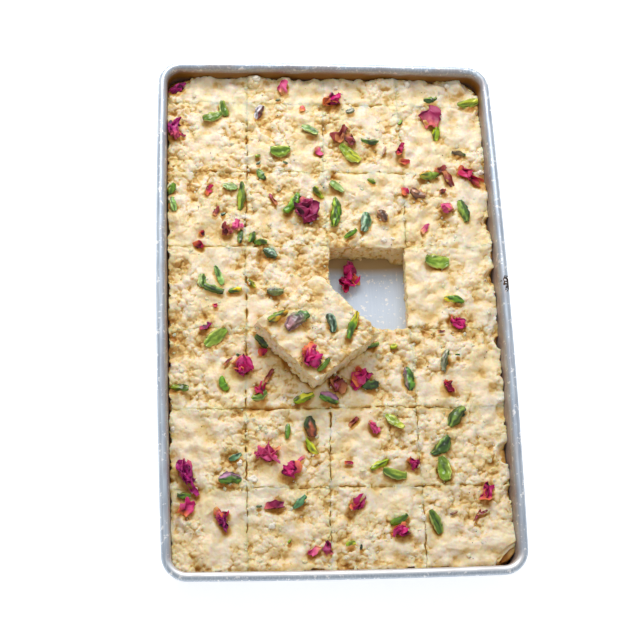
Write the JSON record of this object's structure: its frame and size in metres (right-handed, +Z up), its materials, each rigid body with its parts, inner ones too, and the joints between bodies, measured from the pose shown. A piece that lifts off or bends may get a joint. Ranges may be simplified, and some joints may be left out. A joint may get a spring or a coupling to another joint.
{
  "type": "kalakand",
  "caption": "Grainy milk sweet cut in squares in its shallow metal tin, one square lifted out onto the rest, topped with pistachios and dried rose petals.",
  "frame": {"origin": "centre of the tin's underside, on the surface that it stands on", "axes": "+Z up, +Y along the tin to its far end, +X across it to the right"},
  "size_m": [0.1884, 0.288, 0.0399],
  "materials": {
    "tin": "brushed, with small scratches and bright specks",
    "kalakand": "moist, grainy and crumbly, cream with golden pits",
    "pistachio": "satin, green with some lilac skin",
    "rose": "dry, thin and crinkled, magenta with orange bases"
  },
  "bodies": {
    "root": {"tin": "tin", "strip_1": "kalakand", "strip_2": "kalakand", "strip_3": "kalakand", "strip_4": "kalakand", "square_1_1": "kalakand", "square_1_2": "kalakand", "square_1_3": "kalakand", "square_1_4": "kalakand", "square_2_1": "kalakand", "square_2_2": "kalakand", "square_2_3": "kalakand", "square_2_4": "kalakand", "square_3_1": "kalakand", "square_3_2": "kalakand", "square_3_4": "kalakand", "square_4_1": "kalakand", "square_4_2": "kalakand", "square_4_3": "kalakand", "square_4_4": "kalakand", "square_5_1": "kalakand", "square_5_2": "kalakand", "square_5_3": "kalakand", "square_5_4": "kalakand", "square_6_1": "kalakand", "square_6_2": "kalakand", "square_6_3": "kalakand", "square_6_4": "kalakand", "square_lifted": "kalakand", "petal_fallen": "rose"}
  },
  "joints": []
}
